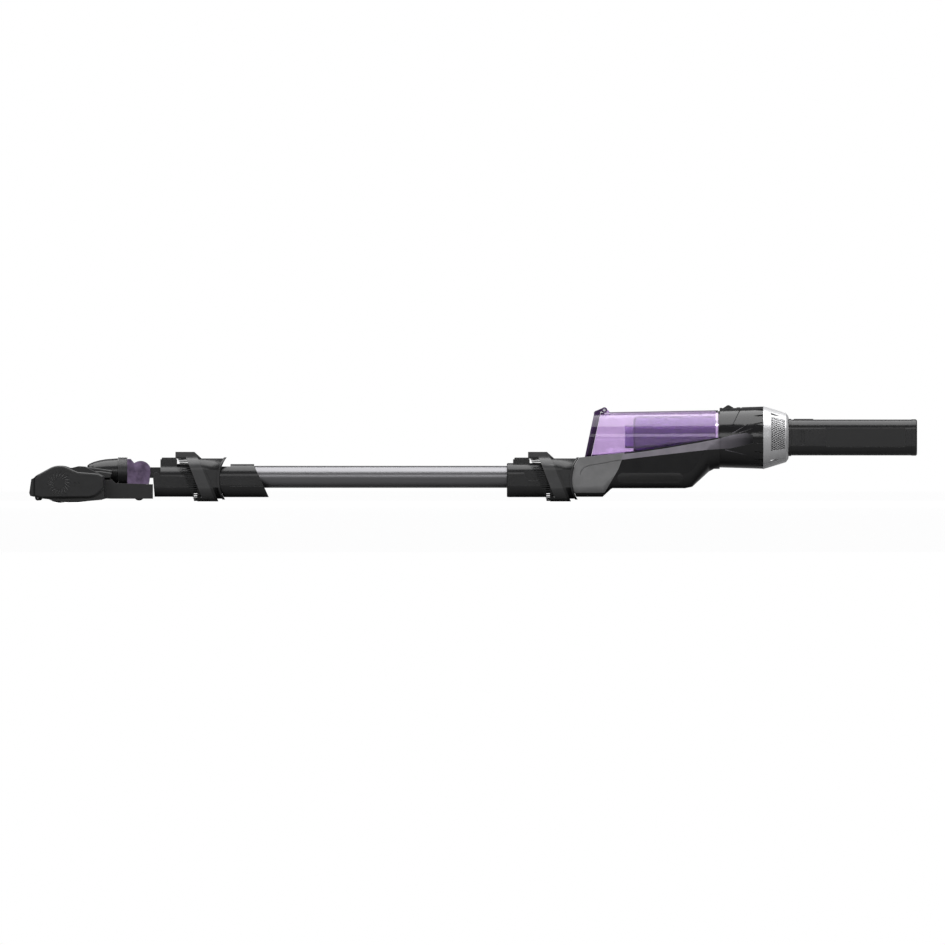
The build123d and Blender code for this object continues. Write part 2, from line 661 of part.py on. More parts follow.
def make_body_shell():
    side = body_side()
    outer = body_form(0.0) & slab(side, -45, 45)
    inner_side = offset(side, amount=-SHELL)
    hollow = body_form(SHELL) & slab(inner_side, -45, 45)
    hollow -= seat_form(SEAT_GAP + SHELL)
    shell = outer - hollow - seat_form(SEAT_GAP)
    shell -= rod_x(100, 152, NOZZLE_Z, NOZZLE_R)
    return shell


def fairing_region():
    points = [(100, FAIRING_BOTTOM_Z)] + FAIRING_BACK + [(187.0, 70), (100, 70)]
    return slab(points, -45, 45)


def fairing_groove():
    """A shallow line on both sides, curling from the fairing's nose to the light band."""
    line = [(132.4, 34.7), (133.9, 39.6), (136.6, 43.2), (142.5, 45.7), (164.0, 49.4), (184.0, 53.2)]
    strip = line + [(x, z + 1.1) for x, z in reversed(line[2:])] + [(132.8, 40.1), (131.6, 34.9)]
    outer = body_form(0.0) & slab(body_side(), -50, 50)
    return (outer - body_form(GROOVE_DEPTH)) & slab(strip, -50, 50)


def accent_region():
    """Side outline of the light band, and of the thin lines that fan out behind it."""
    band = [(206.3, 63.0), (240, 68.0), (278, 74.6), (302, 79.2), (322, 84.5), (338, 87.0)]
    band += [(346, 84.0), (346, 74.0), (318, 67.6), (290, 66.0), (246, 61.0), (206.3, 56.4)]
    band += [(182.4, 53.4), (185.3, 60.8)]
    pieces = slab(band, -50, 50)
    for start, end in (
        ((321, 86.6), (340.2, 98.2)),
        ((329, 86.9), (345.6, 92.6)),
        ((312, 65.8), (345.2, 57.8)),
    ):
        along = Vector(end[0] - start[0], end[1] - start[1]).normalized()
        side = Vector(-along.Y, along.X) * 0.5
        corners = [(start[0] - side.X, start[1] - side.Y), (end[0], end[1])]
        corners.append((start[0] + side.X, start[1] + side.Y))
        pieces += slab(corners, -50, 50)
    return pieces


def hand_skin(depth):
    """The outermost layer of the body and motor housing, depth thick."""
    outer = body_form(0.0) & slab(body_side(), -50, 50)
    inner = body_form(depth)
    housing = cone_x(MOTOR_FRONT_X, MOTOR_FRONT_R, MOTOR_BACK_X, MOTOR_BACK_R, AXIS_Z)
    core = cone_x(MOTOR_FRONT_X, MOTOR_FRONT_R - depth, MOTOR_BACK_X, MOTOR_BACK_R - depth, AXIS_Z)
    return outer - inner, housing - core


def grip_pad_region():
    pad = Pos(219.0, 30.2) * SlotOverall(82.0, 14.0)
    return slab(pad, -50, 50)


def make_motor_housing(accents):
    z = AXIS_Z
    outer = cone_x(MOTOR_FRONT_X, MOTOR_FRONT_R, MOTOR_BACK_X, MOTOR_BACK_R, z)
    inner = cone_x(MOTOR_FRONT_X + 2.5, MOTOR_FRONT_R - 2.5, MOTOR_BACK_X, MOTOR_BACK_R - 2.5, z)
    body = outer - inner + rod_x(BIN_BACK_X + GAP, MOTOR_FRONT_X, z, 33.0)
    body -= rod_x(BIN_BACK_X, MOTOR_FRONT_X + 3, z, 15.0)
    for i in range(20):
        wedge = Polyline((MOTOR_BACK_X - 12, 0), (MOTOR_BACK_X, -2.2), (MOTOR_BACK_X, 2.2), close=True)
        cutter = extrude(Plane((0, 0, MOTOR_BACK_R - 1.4)) * make_face(wedge), amount=4)
        body -= Pos(0, 0, z) * Rotation(18.0 * i + 9.0, 0, 0) * cutter
    seam = [(332.2, 121), (333.4, 121), (322.6, 98), (321.4, 98)]
    under_skin = cone_x(MOTOR_FRONT_X, MOTOR_FRONT_R - 1, MOTOR_BACK_X, MOTOR_BACK_R - 1, z)
    body -= slab(seam, -40, 40) & (outer - under_skin)
    body += block(306, 327, -9, 9, 112.5, 117.6) & outer_cylinder(39.5)
    body -= block(308.0, 326.0, -7.3, 7.3, 115.4, 125)
    return body - accents


def outer_cylinder(radius):
    return rod_x(MOTOR_FRONT_X, MOTOR_BACK_X, AXIS_Z, radius)


def make_latch():
    outline = [(309, 115.7), (322, 115.7), (322, 118.4), (316.6, 121.3), (314.8, 121.3), (309, 117.6)]
    return slab(outline, -7, 7)


RING_OUTER = [(MOTOR_BACK_X, 39.0), (366.0, 37.0), (387.4, 30.4), (389.8, 27.0), (RING_BACK_X, 25.0)]


def make_exhaust_ring():
    outer = turned([(MOTOR_BACK_X, 0)] + RING_OUTER + [(RING_BACK_X, 0)], AXIS_Z)
    inner_line = [(x, r - 2.2) for x, r in RING_OUTER[:3]]
    inner = turned([(MOTOR_BACK_X, 0)] + inner_line + [(387.4, 0)], AXIS_Z)
    ring = outer - inner - rod_x(386, RING_BACK_X, AXIS_Z, 14.0)
    ring -= grille_windows()
    for angle in (36, -36, 144, -144):
        wedge = Polyline((368.2, -2.6), (380.4, 0), (368.2, 2.6), close=True)
        cutter = extrude(Plane((0, 0, 26)) * make_face(wedge), amount=16)
        ring -= Pos(0, 0, AXIS_Z) * Rotation(angle, 0, 0) * cutter
    return ring


def sector(x0, x1, start, end):
    """A pie slice about the hand unit's axis. Angles run from +Y towards +Z."""
    reach = 60.0
    points = [(0, 0)]
    steps = 4
    for i in range(steps + 1):
        a = math.radians(start + (end - start) * i / steps)
        points.append((reach * math.cos(a), reach * math.sin(a)))
    plane = Plane(origin=(x0, 0, AXIS_Z), x_dir=(0, 1, 0), z_dir=(1, 0, 0))
    return extrude(plane * face_of(points), amount=x1 - x0)


def grille_windows():
    return sector(368.6, 386.2, -27, 46) + sector(368.6, 386.2, 134, 207)


def make_grilles():
    outer = turned([(MOTOR_BACK_X, 0)] + [(x, r - 0.5) for x, r in RING_OUTER] + [(RING_BACK_X, 0)], AXIS_Z)
    inner = turned([(MOTOR_BACK_X, 0)] + [(x, r - 2.0) for x, r in RING_OUTER] + [(RING_BACK_X, 0)], AXIS_Z)
    return (outer - inner) & grille_windows()


def build_hand_unit():
    shell = make_body_shell()
    port = rod_z(40, 60, 166, 0, 9.0)
    shell -= port
    body_skin, motor_skin = hand_skin(1.2)
    accents = (body_skin + motor_skin) & accent_region()
    pads = (body_skin & grip_pad_region()) & shell
    shell -= accents
    shell -= pads
    region = fairing_region()
    parts["front_fairing"] = (shell & region) - fairing_groove()
    shell -= region
    parts["body_shell_left"] = shell & block(100, 400, -60, 0, 0, 140)
    parts["body_shell_right"] = shell & block(100, 400, 0, 60, 0, 140)
    parts["accent_bands"] = accents
    parts["grip_inlays"] = pads
    parts["inlet_nozzle"] = make_inlet()
    parts["motor_housing"] = make_motor_housing(accents)
    parts["bin_latch"] = make_latch()
    parts["exhaust_ring"] = make_exhaust_ring()
    parts["exhaust_grille"] = make_grilles()
    filter_ring = rod_x(363, 385.5, AXIS_Z, 26.5) - rod_x(363, 385.5, AXIS_Z, 19.0)
    parts["exhaust_filter"] = filter_ring
    can = rod_x(322, 361, AXIS_Z, 26.0) - rod_x(324, 359, AXIS_Z, 24.5)
    can += rod_x(322, 330, AXIS_Z, 6.0)
    can -= rod_x(322, 361, AXIS_Z, 2.0 + PIN_PLAY)
    can += rod_x(322, 324, AXIS_Z, MOTOR_FRONT_R - 2.1) - rod_x(322, 324, AXIS_Z, 26.0)
    can -= block(321, 328, -10, 10, 111.8, 120)
    parts["motor_can"] = can
    rotor = rod_x(309.5, 358, AXIS_Z, 2.0) + rod_x(313, 320, AXIS_Z, 30.0) + rod_x(333, 353, AXIS_Z, 12.0)
    parts["fan_rotor"] = rotor


def make_inlet():
    x = UPPER_COUPLING_X
    tip = x + MOUTH_DX - SOCKET_DEPTH + 1.0
    nozzle = rod_x(tip, 150, NOZZLE_Z, NOZZLE_R)
    nozzle += block(150, 178, -13, 13, 21, 43.5)
    nozzle -= rod_x(tip, 150.1, NOZZLE_Z, NOZZLE_BORE_R)
    nozzle -= block(150, 176, -11, 11, 23, 41.5)
    nozzle -= rod_z(40, 46, 166, 0, 9.0)
    return nozzle - block(x - 12, x - 6, -5, 5, 43, 46)


# ------------------------------------------------------------------ dust bin
def lid_front(z):
    return BIN_FRONT_X + (z - LID_FOOT_Z) * LID_SLANT


def slanted_slab(start, end):
    """Between two planes parallel to the lid, start and end behind its front face."""
    low, high = 40.0, 122.0
    points = [(lid_front(low) + start, low), (lid_front(high) + start, high)]
    points += [(lid_front(high) + end, high), (lid_front(low) + end, low)]
    return slab(points, -45, 45)


def bin_form(grow, back=BIN_BACK_X):
    slope = (BIN_BACK_R - BIN_FRONT_R) / (BIN_BACK_X - BIN_FRONT_X)
    x0 = 120.0
    r0 = BIN_FRONT_R - slope * (BIN_FRONT_X - x0)
    r1 = BIN_BACK_R + slope * (back - BIN_BACK_X)
    return cone_x(x0, r0 + grow, back, r1 + grow, AXIS_Z)


def build_bin():
    hinge_x, hinge_z = LID_HINGE
    cup = bin_form(0.0) - bin_form(-BIN_WALL, back=BIN_BACK_X - 3)
    cup = cup & slanted_slab(LID_THICK, 200)
    cup -= rod_x(290, BIN_BACK_X + 1, AXIS_Z, 15.0)
    cup -= rod_z(40, 60, 166, 0, 9.0)
    for side in (-1, 1):
        y0, y1 = sorted((side * 6.5, side * 10.5))
        lug = slab([(163, 109), (170, 109), (168, 114), (164, 117), (159, 116)], y0, y1)
        lug += rod_y(y0, y1, hinge_x, hinge_z, 3.6)
        cup += lug - bin_form(-0.5)
    cup -= rod_y(-10.5, 10.5, hinge_x, hinge_z, 1.5)
    cup -= rod_y(-6.5, 6.5, hinge_x, hinge_z, 3.9)
    parts["bin_cup"] = cup
    lid = bin_form(0.0) & slanted_slab(0, LID_THICK - 0.3)
    lid -= bin_form(-2.2) & slanted_slab(2.5, LID_THICK)
    lid -= block(120, 160, -20, 20, 45, LID_LOWEST_Z)
    lid += rod_y(-6.2, 6.2, hinge_x, hinge_z, 3.6)
    arm = [(148.6, 111.2), (150.4, 113.8), (159.5, 117.6), (162.0, 114.0), (156.6, 112.6), (156.0, 111.2)]
    lid += slab(arm, -6.2, 6.2)
    lid -= rod_y(-6.2, 6.2, hinge_x, hinge_z, 1.5 + PIN_PLAY)
    parts["bin_lid"] = lid
    seal = (bin_form(-2.3) - bin_form(-5.0)) & slanted_slab(5.0, LID_THICK - 0.3)
    parts["lid_seal"] = seal
    parts["lid_pin"] = rod_y(-10.5, 10.5, hinge_x, hinge_z, 1.5)
    tube = rod_x(187.8, 299.9, AXIS_Z + 1, 14.2) - rod_x(187.8, 299.9, AXIS_Z + 1, 12.6)
    parts["cyclone_tube"] = tube
    shroud = rod_x(198, 299.9, AXIS_Z, 27.0)
    shroud = soften(shroud, 6.0, shroud.faces().sort_by(Axis.X)[0].edges())
    shroud += rod_x(266, 269, AXIS_Z, 29.5) + rod_x(279.5, 282.5, AXIS_Z, 30.5)
    shroud -= rod_x(200, 300, AXIS_Z, 25.4)
    shroud -= rod_x(190, 210, AXIS_Z + 1, 14.2 + 0.2)
    for ring in range(6):
        for i in range(16):
            hole = Pos(212 + 9 * ring, 0, 20) * Box(5.0, 3.0, 16.0)
            shroud -= Pos(0, 0, AXIS_Z) * Rotation(22.5 * i + 11.25 * (ring % 2), 0, 0) * hole
    parts["bin_filter"] = shroud


# ------------------------------------------------------------------ handle
def build_handle():
    low = AXIS_Z + 0.2 - HANDLE_HEIGHT / 2
    high = low + HANDLE_HEIGHT
    root = RING_BACK_X
    outer = bar(root, HANDLE_CAP_X, HANDLE_WIDTH, low, high, HANDLE_CORNER)
    inner = bar(
        root + 3, HANDLE_CAP_X, HANDLE_WIDTH - 2 * SHELL, low + SHELL, high - SHELL, HANDLE_CORNER - SHELL
    )
    shell = outer - inner
    shell += bar(root, root + 3.2, HANDLE_WIDTH + 1.6, low - 0.8, high + 0.8, HANDLE_CORNER + 0.8)
    shell -= rod_x(root - 1, root + 4, AXIS_Z, 10.0)
    pad = block(437, 535, -30, 30, 69.4, 93.0)
    skin = outer - bar(root, HANDLE_CAP_X, HANDLE_WIDTH - 1.6, low, high, HANDLE_CORNER - 0.8)
    parts["handle_grips"] = skin & pad
    shell -= skin & pad
    shell -= block(396.5, 421.5, -6.8, 6.8, high - 4, high + 2)
    parts["power_button"] = make_power_button(high)
    socket = (405.9, 409.9, 73.2, 89.4)
    shell -= block(socket[0], socket[1], -30, -18, socket[2], socket[3])
    parts["charge_socket"] = block(
        socket[0], socket[1], -HANDLE_WIDTH / 2 + 1.2, -HANDLE_WIDTH / 2 + SHELL, socket[2], socket[3]
    )
    parts["handle_shell_left"] = shell & block(380, 560, -40, 0, 0, 140)
    parts["handle_shell_right"] = shell & block(380, 560, 0, 40, 0, 140)
    cap = bar(HANDLE_CAP_X, END_X, HANDLE_WIDTH + 0.6, low - 0.3, high + 0.3, HANDLE_CORNER)
    cap = soften(cap, 2.2, cap.faces().sort_by(Axis.X)[-1].edges())
    parts["handle_end_cap"] = cap
    cells = []
    for layer, count in ((404.5, 4), (471.0, 3)):
        corners = [(-9.4, -9.4), (9.4, -9.4), (-9.4, 9.4), (9.4, 9.4)]
        for y, dz in corners[:count]:
            cell = rod_x(layer, layer + CELL_LENGTH, AXIS_Z + 0.2 + dz, CELL_R, y=y)
            end = layer + CELL_LENGTH
            cells.append(cell + rod_x(end, end + 1, AXIS_Z + 0.2 + dz, 3, y=y))
    parts["battery_cells"] = Compound(children=cells)
    board = block(474, 534, 1.0, 17.0, 84.0, 85.6)
    for x in (480, 494, 508, 522):
        board += block(x, x + 7, 4, 12, 85.6, 89)
    parts["control_board"] = board


def make_power_button(high):
    button = block(396.8, 421.2, -6.5, 6.5, high - 2.2, high + 0.9)
    button = soften(button, 0.8, button.edges().group_by(Axis.Z)[-1])
    return button


# ------------------------------------------------------------------ build and export
build_head()
build_brush_drive()
build_neck()
parts["connector"] = make_connector()
build_coupling("lower", LOWER_COUPLING_X)
build_coupling("upper", UPPER_COUPLING_X)
build_wand()
build_hand_unit()
build_bin()
build_handle()

os.makedirs("parts", exist_ok=True)
for name, shape in parts.items():
    export_step(shape, os.path.join("parts", name + ".step"))
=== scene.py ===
import json
import math
import random

import bpy
from mathutils import Matrix, Vector


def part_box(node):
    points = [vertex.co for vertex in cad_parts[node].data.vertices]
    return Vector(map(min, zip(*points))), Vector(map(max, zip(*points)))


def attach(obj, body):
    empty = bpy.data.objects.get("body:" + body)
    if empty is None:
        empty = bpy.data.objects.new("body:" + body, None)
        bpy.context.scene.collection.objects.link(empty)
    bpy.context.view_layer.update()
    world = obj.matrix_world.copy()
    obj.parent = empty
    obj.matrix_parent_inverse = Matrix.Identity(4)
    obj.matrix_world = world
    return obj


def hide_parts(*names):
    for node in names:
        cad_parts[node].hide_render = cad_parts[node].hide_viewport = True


# Cordless stick vacuum lying on a pale floor, seen square from its left side.
# Lengths in this script are metres; MM turns the small ones into millimetres.

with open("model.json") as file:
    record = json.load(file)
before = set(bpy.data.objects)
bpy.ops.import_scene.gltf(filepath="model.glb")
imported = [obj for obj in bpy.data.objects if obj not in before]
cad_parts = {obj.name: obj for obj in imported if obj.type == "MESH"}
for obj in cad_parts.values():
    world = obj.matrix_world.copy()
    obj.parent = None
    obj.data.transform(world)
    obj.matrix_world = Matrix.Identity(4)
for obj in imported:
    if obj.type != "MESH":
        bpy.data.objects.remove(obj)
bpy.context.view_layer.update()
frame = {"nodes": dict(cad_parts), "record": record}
NODES = frame["nodes"]
MM = 0.001
SEED = 7


# ------------------------------------------------------------------ materials
def new_material(name):
    mat = bpy.data.materials.new(name)
    mat.use_nodes = True
    tree = mat.node_tree
    return mat, tree.nodes, tree.links, tree.nodes["Principled BSDF"]


def object_space(nodes, links, stretch=(1.0, 1.0, 1.0)):
    coords = nodes.new("ShaderNodeTexCoord")
    mapping = nodes.new("ShaderNodeMapping")
    mapping.inputs["Scale"].default_value = stretch
    links.new(coords.outputs["Object"], mapping.inputs["Vector"])
    return mapping.outputs["Vector"]


def noise(nodes, links, vector, size, detail=3.0):
    """Noise whose features are about `size` metres across."""
    node = nodes.new("ShaderNodeTexNoise")
    node.inputs["Scale"].default_value = 1.0 / size
    node.inputs["Detail"].default_value = detail
    node.inputs["Roughness"].default_value = 0.55
    links.new(vector, node.inputs["Vector"])
    return node.outputs["Fac"]


def spread(nodes, links, value, low, high, start=0.3, end=0.7):
    node = nodes.new("ShaderNodeMapRange")
    node.inputs["From Min"].default_value = start
    node.inputs["From Max"].default_value = end
    node.inputs["To Min"].default_value = low
    node.inputs["To Max"].default_value = high
    links.new(value, node.inputs["Value"])
    return node.outputs["Result"]


def two_tone(nodes, links, factor, dark, light):
    node = nodes.new("ShaderNodeMix")
    node.data_type = "RGBA"
    node.inputs["A"].default_value = (*dark, 1.0)
    node.inputs["B"].default_value = (*light, 1.0)
    links.new(factor, node.inputs["Factor"])
    return node.outputs["Result"]


def tinted(nodes, links, factor, base, colour):
    """Turn the colour that `base` carries to a plain one by factor."""
    node = nodes.new("ShaderNodeMix")
    node.data_type = "RGBA"
    node.inputs["B"].default_value = (*colour, 1.0)
    links.new(factor, node.inputs["Factor"])
    links.new(base, node.inputs["A"])
    return node.outputs["Result"]


def shades(colour, share):
    """The colour made darker, and made lighter, by the same share."""
    dark = [c * (1 - share) for c in colour]
    light = [min(1.0, c * (1 + share)) for c in colour]
    return dark, light


def edge_mask(nodes, links, radius):
    """A softened normal for the edges, and how far it turns from the true one."""
    bevel = nodes.new("ShaderNodeBevel")
    bevel.samples = 4
    bevel.inputs["Radius"].default_value = radius
    geometry = nodes.new("ShaderNodeNewGeometry")
    dot = nodes.new("ShaderNodeVectorMath")
    dot.operation = "DOT_PRODUCT"
    links.new(bevel.outputs["Normal"], dot.inputs[0])
    links.new(geometry.outputs["Normal"], dot.inputs[1])
    worn = spread(nodes, links, dot.outputs["Value"], 1.0, 0.0, 0.75, 0.99)
    return bevel.outputs["Normal"], worn


def bumped(nodes, links, height, strength, depth, normal=None):
    bump = nodes.new("ShaderNodeBump")
    bump.inputs["Strength"].default_value = strength
    bump.inputs["Distance"].default_value = depth
    links.new(height, bump.inputs["Height"])
    if normal is not None:
        links.new(normal, bump.inputs["Normal"])
    return bump.outputs["Normal"]


def mix_into(nodes, links, factor, first, second, output):
    """Send a mix of two shaders to the output: the first at factor 0, the second at 1."""
    mix = nodes.new("ShaderNodeMixShader")
    links.new(factor, mix.inputs[0])
    links.new(first.outputs[0], mix.inputs[1])
    links.new(second.outputs[0], mix.inputs[2])
    links.new(mix.outputs[0], nodes[output].inputs["Surface"])


def seen_directly(nodes, links):
    """1 for rays from the camera or through clear plastic, 0 for the others."""
    rays = nodes.new("ShaderNodeLightPath")
    seen = nodes.new("ShaderNodeMath")
    seen.operation = "MAXIMUM"
    links.new(rays.outputs["Is Camera Ray"], seen.inputs[0])
    links.new(rays.outputs["Is Transmission Ray"], seen.inputs[1])
    return seen.outputs[0]


GRAIN_SIZE, GRAIN_DEPTH = 0.45 * MM, 0.12 * MM
CLOUD_SIZE = 14 * MM
WORN_EDGE = 0.35 * MM


def moulded(name, colour, rough, grain=0.06, mottle=0.12, worn=1.5, metallic=0.0):
    """Moulded plastic or rubber: fine grain, faint clouding, and edges rubbed a little lighter."""
    mat, nodes, links, shader = new_material(name)
    vector = object_space(nodes, links)
    fine = noise(nodes, links, vector, GRAIN_SIZE)
    cloud = noise(nodes, links, vector, CLOUD_SIZE, detail=4.0)
    clouding = spread(nodes, links, cloud, 0.0, 1.0)
    base = two_tone(nodes, links, clouding, *shades(colour, mottle))
    normal, edges = edge_mask(nodes, links, WORN_EDGE)
    rubbed = [min(1.0, c * (1 + worn) + 0.006) for c in colour]
    links.new(tinted(nodes, links, edges, base, rubbed), shader.inputs["Base Color"])
    roughness = spread(nodes, links, cloud, rough * 0.94, min(1.0, rough * 1.06))
    links.new(roughness, shader.inputs["Roughness"])
    links.new(bumped(nodes, links, fine, grain, GRAIN_DEPTH, normal), shader.inputs["Normal"])
    shader.inputs["Metallic"].default_value = metallic
    return mat


STREAK_WIDTH, STREAK_DEPTH = 0.35 * MM, 0.05 * MM
SHEET_PATCH = 3.0 * MM


def brushed(name, colour, rough, stretch):
    """Metal with fine streaks that run along the axis whose stretch is small."""
    mat, nodes, links, shader = new_material(name)
    vector = object_space(nodes, links, stretch)
    lines = noise(nodes, links, vector, STREAK_WIDTH, detail=4.0)
    patches = noise(nodes, links, vector, SHEET_PATCH)
    base = two_tone(nodes, links, patches, *shades(colour, 0.12))
    links.new(base, shader.inputs["Base Color"])
    roughness = spread(nodes, links, lines, rough * 0.85, rough * 1.15)
    links.new(roughness, shader.inputs["Roughness"])
    links.new(bumped(nodes, links, lines, 0.1, STREAK_DEPTH), shader.inputs["Normal"])
    shader.inputs["Metallic"].default_value = 1.0
    return mat


SWIRL_SIZE, SWIRL_DEPTH = 9 * MM, 0.1 * MM
PLASTIC_IOR = 1.45
RIM_START, RIM_FULL = 0.56, 0.78


def clear_plastic(name, tint, rough, transmission, rim=None, cloud=0.04):
    """Tinted see-through plastic that lets lamp light through.

    With a rim colour, it turns to that colour where its surface is seen edge on.
    """
    mat, nodes, links, shader = new_material(name)
    vector = object_space(nodes, links)
    swirl = noise(nodes, links, vector, SWIRL_SIZE, detail=2.0)
    shader.inputs["Transmission Weight"].default_value = transmission
    shader.inputs["IOR"].default_value = PLASTIC_IOR
    roughness = spread(nodes, links, swirl, rough * 0.6, rough * 1.4)
    links.new(roughness, shader.inputs["Roughness"])
    clouding = spread(nodes, links, swirl, 0.0, 1.0)
    base = two_tone(nodes, links, clouding, *shades(tint, cloud))
    if rim:
        facing = nodes.new("ShaderNodeLayerWeight").outputs["Facing"]
        edge_on = spread(nodes, links, facing, 0.0, 1.0, RIM_START, RIM_FULL)
        base = tinted(nodes, links, edge_on, base, rim)
    links.new(base, shader.inputs["Base Color"])
    links.new(bumped(nodes, links, swirl, 0.05, SWIRL_DEPTH), shader.inputs["Normal"])
    clear = nodes.new("ShaderNodeBsdfTransparent")
    clear.inputs["Color"].default_value = (*[c * 0.9 for c in tint], 1.0)
    shadow = nodes.new("ShaderNodeLightPath").outputs["Is Shadow Ray"]
    mix_into(nodes, links, shadow, shader, clear, "Material Output")
    return mat


STRAND_PATCH, STRAND_DEPTH = 0.9 * MM, 0.1 * MM


def fibrous(name, colour, tip, rough):
    """Bristles and filter cloth: every strand a slightly different shade."""
    mat, nodes, links, shader = new_material(name)
    vector = object_space(nodes, links)
    strand = noise(nodes, links, vector, STRAND_PATCH, detail=2.0)
    shading = spread(nodes, links, strand, 0.0, 1.0)
    links.new(two_tone(nodes, links, shading, colour, tip), shader.inputs["Base Color"])
    links.new(spread(nodes, links, strand, rough * 0.9, rough), shader.inputs["Roughness"])
    links.new(bumped(nodes, links, strand, 0.3, STRAND_DEPTH), shader.inputs["Normal"])
    shader.inputs["Sheen Weight"].default_value = 0.15
    return mat


PURPLE_RIM = (0.06, 0.02, 0.10)
MATERIALS = {
    "black_plastic": moulded("black_plastic", (0.007, 0.007, 0.0075), 0.26),
    "gloss_black": moulded("gloss_black", (0.006, 0.006, 0.0065), 0.15, grain=0.02, mottle=0.1),
    "head_black": moulded("head_black", (0.006, 0.006, 0.0065), 0.30),
    "grey_plastic": moulded("grey_plastic", (0.175, 0.175, 0.177), 0.34, worn=0.5),
    "charcoal_plastic": moulded("charcoal_plastic", (0.02, 0.02, 0.021), 0.38, worn=0.9),
    "accent_lilac_silver": moulded(
        "accent_lilac_silver", (0.20, 0.185, 0.215), 0.32, metallic=0.75, worn=0.2
    ),
    "purple_clear": clear_plastic(
        "purple_clear", (0.69, 0.565, 0.775), 0.04, 0.97, rim=(0.055, 0.02, 0.09)
    ),
    "plum_clear": clear_plastic(
        "plum_clear", (0.20, 0.145, 0.245), 0.12, 0.22, rim=(0.05, 0.035, 0.065), cloud=0.4
    ),
    "dark_purple": clear_plastic("dark_purple", (0.055, 0.025, 0.085), 0.08, 0.6),
    "silver_plastic": moulded(
        "silver_plastic", (0.62, 0.62, 0.63), 0.30, metallic=0.4, worn=0.15, mottle=0.05
    ),
    "tube_metal": brushed("tube_metal", (0.19, 0.188, 0.197), 0.33, (0.02, 1.0, 1.0)),
    "bristle": fibrous("bristle", (0.004, 0.004, 0.0045), (0.012, 0.012, 0.013), 0.6),
    "rubber_black": moulded("rubber_black", (0.0095, 0.0095, 0.0098), 0.52, grain=0.2),
    "steel": brushed("steel", (0.55, 0.55, 0.56), 0.28, (1.0, 1.0, 1.0)),
    # The filter cloth is near black so the exhaust grille's holes look dark: painted shade for the
    # shadow behind the grille.
    "filter_grey": fibrous("filter_grey", (0.035, 0.035, 0.036), (0.06, 0.06, 0.06), 0.9),
    "cell_wrap": moulded("cell_wrap", (0.03, 0.08, 0.20), 0.3),
    "board_green": moulded("board_green", (0.01, 0.07, 0.02), 0.3),
    "copper_wire": moulded("copper_wire", (0.012, 0.012, 0.012), 0.45),
}


def masked(mat, colour, place, span, direction):
    """Blend the material's colour to another one across a slanted line in object space.

    The blend starts where a point's dot product with direction reaches place and ends span later.
    """
    nodes, links = mat.node_tree.nodes, mat.node_tree.links
    base = nodes["Principled BSDF"].inputs["Base Color"]
    coords = nodes.new("ShaderNodeTexCoord")
    dot = nodes.new("ShaderNodeVectorMath")
    dot.operation = "DOT_PRODUCT"
    dot.inputs[1].default_value = direction
    links.new(coords.outputs["Object"], dot.inputs[0])
    past = spread(nodes, links, dot.outputs["Value"], 0.0, 1.0, place, place + span)
    links.new(tinted(nodes, links, past, base.links[0].from_socket, colour), base)
    return mat


def slider_plastic(prefix):
    """A slider's slanted band is charcoal and the sleeve behind it black."""
    front_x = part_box(prefix + "_brush_slider")[0].x
    slant = Vector((1.0, 0.0, 0.40))
    rear_edge = Vector((front_x + 29.0 * MM, 0.0, 53.0 * MM))
    mat = moulded(prefix + "_slider_plastic", (0.036, 0.036, 0.037), 0.34, worn=0.6)
    return masked(mat, (0.010, 0.010, 0.0105), rear_edge.dot(slant), 0.5 * MM, slant)


FADE_X, FADE_LENGTH = 300.0 * MM, 44.0 * MM


def accent_paint():
    """The light band's paint fades out over the motor housing."""
    mat = moulded("accent_paint", (0.23, 0.215, 0.245), 0.32, metallic=0.75, worn=0.2)
    return masked(mat, (0.02, 0.02, 0.022), FADE_X, FADE_LENGTH, Vector((1.0, 0.0, 0.0)))


SPECIAL = {
    "lower_brush_slider": slider_plastic("lower"),
    "upper_brush_slider": slider_plastic("upper"),
    "accent_bands": accent_paint(),
    "bin_filter": clear_plastic("filter_purple", (0.36, 0.23, 0.50), 0.06, 0.9, rim=PURPLE_RIM),
    "cyclone_tube": clear_plastic(
        "cyclone_purple", (0.46, 0.33, 0.60), 0.05, 0.93, rim=PURPLE_RIM
    ),
}

for part in frame["record"]["subparts"]:
    for slot in NODES[part["node"]].material_slots:
        slot.material = SPECIAL.get(part["node"], MATERIALS[part["material_slot"]])


# ------------------------------------------------------------------ mesh helpers
def make_object(name, verts, faces, body, slot, material=None, smooth=False):
    mesh = bpy.data.meshes.new(name)
    mesh.from_pydata([tuple(v) for v in verts], [], faces)
    mesh.materials.append(material or MATERIALS[slot])
    mesh.update()
    if smooth:
        mesh.shade_smooth()
    obj = bpy.data.objects.new(name, mesh)
    bpy.context.scene.collection.objects.link(obj)
    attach(obj, body)
    return obj


def add_strand(verts, faces, root, tip, width, sides=4):
    """A tapering bristle from root to tip, closed at both ends."""
    along = (tip - root).normalized()
    side = along.orthogonal().normalized()
    other = along.cross(side)
    first = len(verts)
    for point, radius in ((root, width / 2), (tip, width * 0.28)):
        for i in range(sides):
            a = 2 * math.pi * i / sides
            verts.append(point + (side * math.cos(a) + other * math.sin(a)) * radius)
    for i in range(sides):
        j = (i + 1) % sides
        faces.append((first + i, first + j, first + sides + j, first + sides + i))
    faces.append(tuple(first + i for i in reversed(range(sides))))
    faces.append(tuple(first + sides + i for i in range(sides)))


